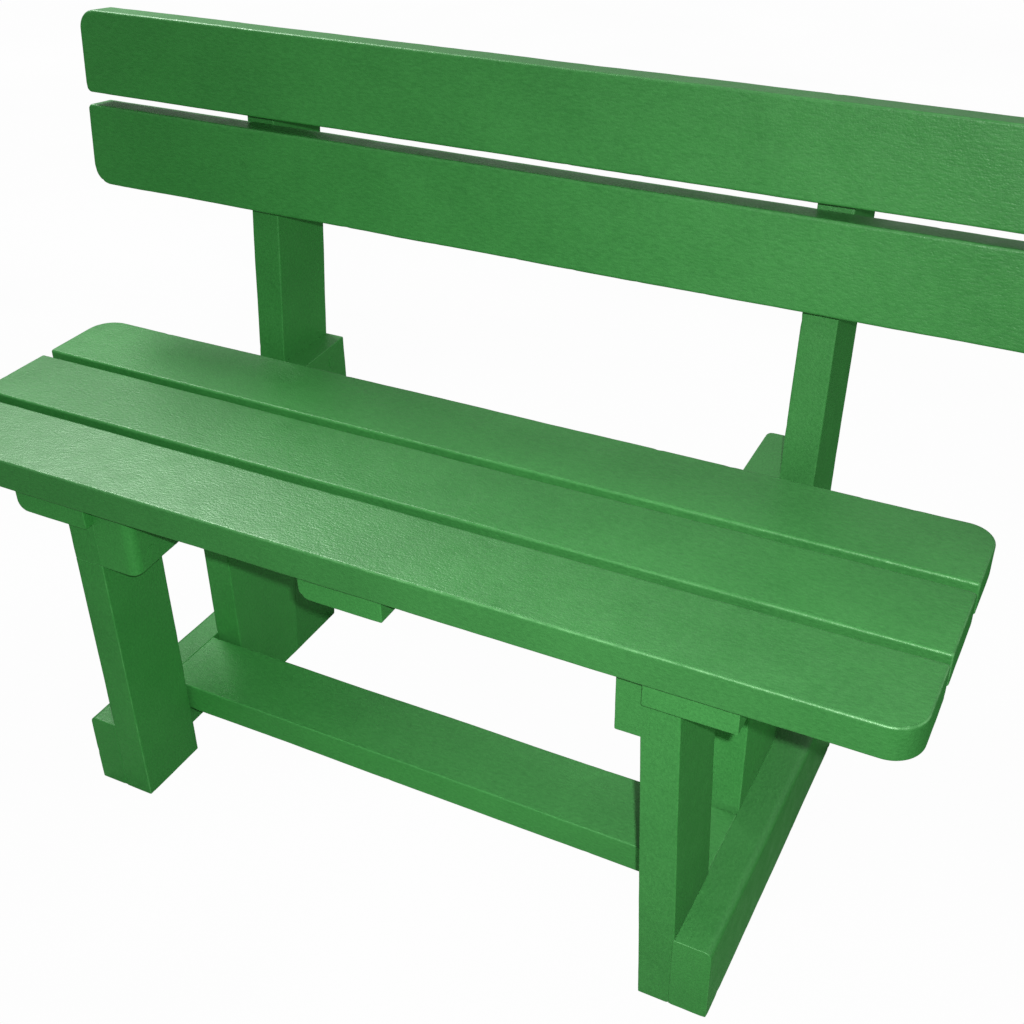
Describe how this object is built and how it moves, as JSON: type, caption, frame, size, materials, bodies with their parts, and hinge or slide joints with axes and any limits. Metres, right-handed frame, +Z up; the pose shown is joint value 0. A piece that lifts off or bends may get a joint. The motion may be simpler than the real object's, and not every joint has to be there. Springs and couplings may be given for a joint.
{
  "type": "garden bench with backrest",
  "caption": "Plank bench with a slatted seat and a leaning slatted backrest on two side frames joined by a flat stretcher.",
  "frame": {"origin": "centre of the bench's bounding box on the ground", "axes": "+X along the bench towards the right-hand side frame as seen from in front, +Y towards the backrest (the sitter faces -Y), +Z up"},
  "size_m": [1.104, 0.498, 0.8074],
  "materials": {
    "green_plank": "satin mid-green with a fine fibrous orange-peel surface",
    "green_plug": "satin mid-green, flush with the planks",
    "screw_steel": "plain bright steel"
  },
  "bodies": {
    "root": {"seat_board_front": "green_plank", "seat_board_middle": "green_plank", "seat_board_rear": "green_plank", "back_board_lower": "green_plank", "back_board_upper": "green_plank", "front_leg_left": "green_plank", "front_leg_right": "green_plank", "front_leg_block_left": "green_plank", "rear_leg_left": "green_plank", "rear_leg_right": "green_plank", "back_post_left": "green_plank", "back_post_right": "green_plank", "seat_bearer_left": "green_plank", "seat_bearer_right": "green_plank", "ground_rail_left": "green_plank", "ground_rail_right": "green_plank", "seat_cleat_left": "green_plank", "seat_cleat_middle": "green_plank", "seat_cleat_right": "green_plank", "stretcher": "green_plank", "bearer_plugs": "green_plug", "rail_plugs": "green_plug", "back_board_plugs": "green_plug", "seat_board_screws": "screw_steel", "cleat_leg_screws": "screw_steel", "leg_block_screws": "screw_steel", "cleat_bearer_screws": "screw_steel", "bearer_screws": "screw_steel", "rail_screws": "screw_steel", "stretcher_screws": "screw_steel", "back_board_screws": "screw_steel"}
  },
  "joints": []
}
